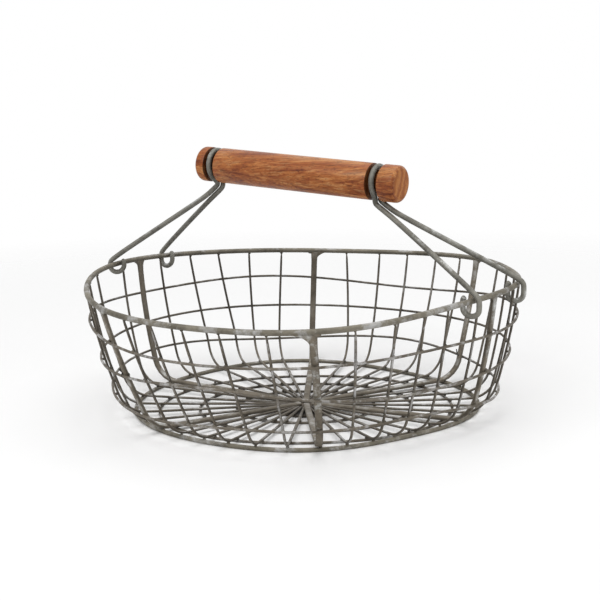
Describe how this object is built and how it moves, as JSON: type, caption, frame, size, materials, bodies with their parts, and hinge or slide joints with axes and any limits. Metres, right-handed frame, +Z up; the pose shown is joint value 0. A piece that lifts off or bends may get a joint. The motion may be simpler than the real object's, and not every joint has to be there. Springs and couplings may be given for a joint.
{
  "type": "wire basket with wooden handle",
  "caption": "Low round open basket of welded wires on a hub plate, with two wire bails that carry a turned wooden grip.",
  "frame": {"origin": "on the floor, under the middle of the bounding box; the middle of the rim's mean circle lies 3 mm along +X and 6 mm along -Y from it", "axes": "+Z up; +X along the handle, from the left bail to the right bail; +Y away from the side that the picture shows"},
  "size_m": [0.3288, 0.3346, 0.195],
  "materials": {
    "aged_zinc": "dull zinc-coated wire, grey-brown with age",
    "worn_zinc": "dull zinc-coated flat bar, rubbed pale at its edges",
    "dark_steel": "dark bare plate",
    "turned_wood": "satin, red-brown, grain along the grip"
  },
  "bodies": {
    "basket": {"rim": "aged_zinc", "rib_1": "worn_zinc", "rib_2": "worn_zinc", "rib_3": "worn_zinc", "rib_4": "worn_zinc", "rib_5": "worn_zinc", "rib_6": "worn_zinc", "spoke_01": "aged_zinc", "spoke_02": "aged_zinc", "spoke_03": "aged_zinc", "spoke_04": "aged_zinc", "spoke_05": "aged_zinc", "spoke_06": "aged_zinc", "spoke_07": "aged_zinc", "spoke_08": "aged_zinc", "spoke_09": "aged_zinc", "spoke_10": "aged_zinc", "spoke_11": "aged_zinc", "spoke_12": "aged_zinc", "spoke_13": "aged_zinc", "spoke_14": "aged_zinc", "spoke_15": "aged_zinc", "spoke_16": "aged_zinc", "spoke_17": "aged_zinc", "spoke_18": "aged_zinc", "spoke_19": "aged_zinc", "spoke_20": "aged_zinc", "spoke_21": "aged_zinc", "spoke_22": "aged_zinc", "spoke_23": "aged_zinc", "spoke_24": "aged_zinc", "spoke_25": "aged_zinc", "spoke_26": "aged_zinc", "spoke_27": "aged_zinc", "spoke_28": "aged_zinc", "spoke_29": "aged_zinc", "spoke_30": "aged_zinc", "wall_hoop_1": "aged_zinc", "wall_hoop_2": "aged_zinc", "wall_hoop_3": "aged_zinc", "foot_ring": "aged_zinc", "base_ring_1": "aged_zinc", "base_ring_2": "aged_zinc", "base_ring_3": "aged_zinc", "hub_plate": "dark_steel"},
    "left_bail": {"left_bail": "aged_zinc"},
    "right_bail": {"right_bail": "aged_zinc"},
    "grip": {"grip": "turned_wood"}
  },
  "joints": [
    {"name": "left_bail_sway", "type": "hinge", "parent": "basket", "child": "left_bail", "pos_m": [-0.1539, -0.00895, 0.10171], "axis": [0, 1, 0], "range_deg": [0, 3.5]},
    {"name": "right_bail_sway", "type": "hinge", "parent": "basket", "child": "right_bail", "pos_m": [0.15518, -0.00895, 0.10155], "axis": [0, 1, 0], "range_deg": [0, 3.9]},
    {"name": "grip_tilt", "type": "hinge", "parent": "left_bail", "child": "grip", "pos_m": [-0.07551, -0.00895, 0.18121], "axis": [0, 1, 0], "range_deg": [-7.8, 0]}
  ],
  "couplings": [
    {"joint": "right_bail_sway", "follows": "left_bail_sway", "ratio": 1.1},
    {"joint": "grip_tilt", "follows": "left_bail_sway", "ratio": -2.22}
  ]
}
